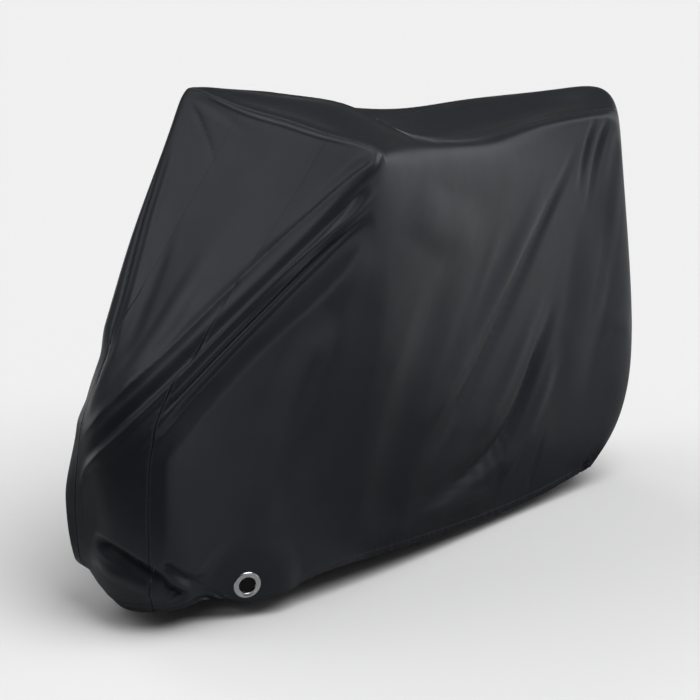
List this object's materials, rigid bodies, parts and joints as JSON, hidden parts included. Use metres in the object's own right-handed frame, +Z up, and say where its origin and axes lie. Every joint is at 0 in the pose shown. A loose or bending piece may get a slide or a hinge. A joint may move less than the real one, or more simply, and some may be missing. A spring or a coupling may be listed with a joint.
{
  "type": "bicycle cover",
  "caption": "Fitted bicycle cover of coated cloth, draped from handlebar to both wheels, open below, with an eyelet in each side's hem.",
  "frame": {"origin": "under the top of the cover, 1 mm below its inner face, on the centre line just behind the handlebar, where the bicycle holds it up", "axes": "+X to the rear of the bicycle, -Y to the near side, +Z up; the ground is at z = -1.099 m"},
  "size_m": [1.6764, 0.6762, 1.1059],
  "materials": {
    "coated_cloth": "satin",
    "eyelet_metal": "polished"
  },
  "bodies": {
    "root": {"centre_strip": "coated_cloth", "near_side_panel": "coated_cloth", "far_side_panel": "coated_cloth", "near_eyelet_patch": "coated_cloth", "far_eyelet_patch": "coated_cloth", "near_eyelet": "eyelet_metal", "far_eyelet": "eyelet_metal"}
  },
  "joints": []
}
